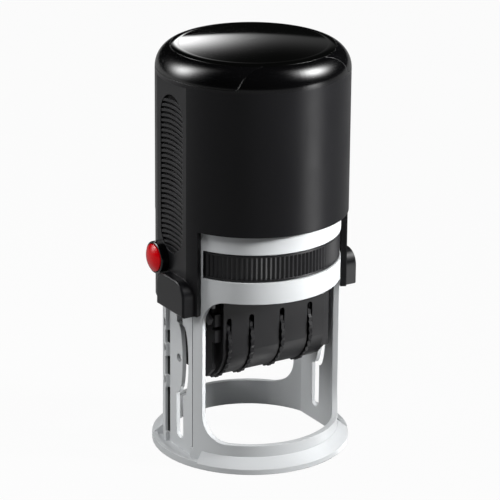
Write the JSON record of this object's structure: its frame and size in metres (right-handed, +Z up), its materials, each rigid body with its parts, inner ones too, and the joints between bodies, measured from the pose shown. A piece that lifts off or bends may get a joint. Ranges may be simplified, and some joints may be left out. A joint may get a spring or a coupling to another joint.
{
  "type": "date_stamp",
  "caption": "Round self-inking date stamp: press-down handle, flip-over dater with thumbwheels and date bands, slide-out ink-pad cartridge and a red lock button",
  "frame": {"origin": "centre of the imprint on the table, in the base plane of the frame", "axes": "+Z up along the press direction; -Y is the front, where the ink-pad cartridge slides out; -X is the side with the lock button"},
  "size_m": [0.0582, 0.0562, 0.1178],
  "materials": {
    "frame_plastic": "light grey moulded ABS, satin gloss",
    "handle_plastic": "black moulded ABS, satin",
    "gloss_black": "black moulded ABS, high gloss",
    "window_plastic": "clear to smoke tinted window, polished",
    "card": "plain grey card",
    "button_red": "red moulded plastic, polished",
    "cartridge_black": "black moulded plastic, knurled front",
    "pad_foam": "ink-soaked felt over foam, black ink",
    "dater_black": "dark grey moulded plastic, fine matt grain",
    "text_rubber": "laser-cut stamp rubber, matt",
    "band_rubber": "moulded date band rubber, matt",
    "wheel_plastic": "black plastic thumbwheel with a toothed rim",
    "spring_steel": "drawn spring wire"
  },
  "bodies": {
    "frame": {"base_frame": "frame_plastic", "return_spring": "spring_steel"},
    "handle": {"handle_shell": "handle_plastic", "shoulder_cap_left": "gloss_black", "shoulder_cap_right": "gloss_black", "index_card": "card", "index_window": "window_plastic", "lock_collar": "gloss_black"},
    "button": {"lock_button": "button_red"},
    "cartridge": {"pad_tray": "cartridge_black", "ink_pad": "pad_foam"},
    "dater": {"dater_yoke": "dater_black", "die_plate": "dater_black", "die_rubber": "text_rubber", "band_bridge": "dater_black", "comb_cover_front": "dater_black", "comb_cover_rear": "dater_black", "cheek_left": "dater_black", "cheek_right": "dater_black", "flip_star_left": "frame_plastic", "flip_star_right": "frame_plastic", "trunnion_left": "spring_steel", "trunnion_right": "spring_steel", "wheel_axle": "spring_steel", "date_band_1": "band_rubber", "date_band_2": "band_rubber", "date_band_3": "band_rubber", "date_band_4": "band_rubber"},
    "wheel_1": {"date_wheel_1": "wheel_plastic"},
    "wheel_2": {"date_wheel_2": "wheel_plastic"},
    "wheel_3": {"date_wheel_3": "wheel_plastic"},
    "wheel_4": {"date_wheel_4": "wheel_plastic"}
  },
  "joints": [
    {"name": "handle_press", "type": "slide", "parent": "frame", "child": "handle", "axis": [0, 0, -1], "range_m": [0, 0.0417], "stiffness_N_per_m": 350, "springref_m": -0.012, "deforming": ["return_spring"]},
    {"name": "dater_flip", "type": "hinge", "parent": "handle", "child": "dater", "pos_m": [0, 0, 0.0472], "axis": [1, 0, 0], "range_deg": [0, 180]},
    {"name": "lock_press", "type": "slide", "parent": "handle", "child": "button", "axis": [1, 0, 0], "range_m": [0, 0.0014], "stiffness_N_per_m": 600, "springref_m": -0.002},
    {"name": "cartridge_slide", "type": "slide", "parent": "frame", "child": "cartridge", "axis": [0, -1, 0], "range_m": [0, 0.054]},
    {"name": "date_wheel_1_turn", "type": "hinge", "parent": "dater", "child": "wheel_1", "pos_m": [-0.0145, 0, 0.0346], "axis": [1, 0, 0], "continuous": true},
    {"name": "date_wheel_2_turn", "type": "hinge", "parent": "dater", "child": "wheel_2", "pos_m": [-0.0072, 0, 0.0346], "axis": [1, 0, 0], "continuous": true},
    {"name": "date_wheel_3_turn", "type": "hinge", "parent": "dater", "child": "wheel_3", "pos_m": [0.00281, 0, 0.0346], "axis": [1, 0, 0], "continuous": true},
    {"name": "date_wheel_4_turn", "type": "hinge", "parent": "dater", "child": "wheel_4", "pos_m": [0.012, 0, 0.0346], "axis": [1, 0, 0], "continuous": true}
  ],
  "couplings": [
    {"joint": "dater_flip", "follows": "handle_press", "rad_per_m": 75.33}
  ]
}
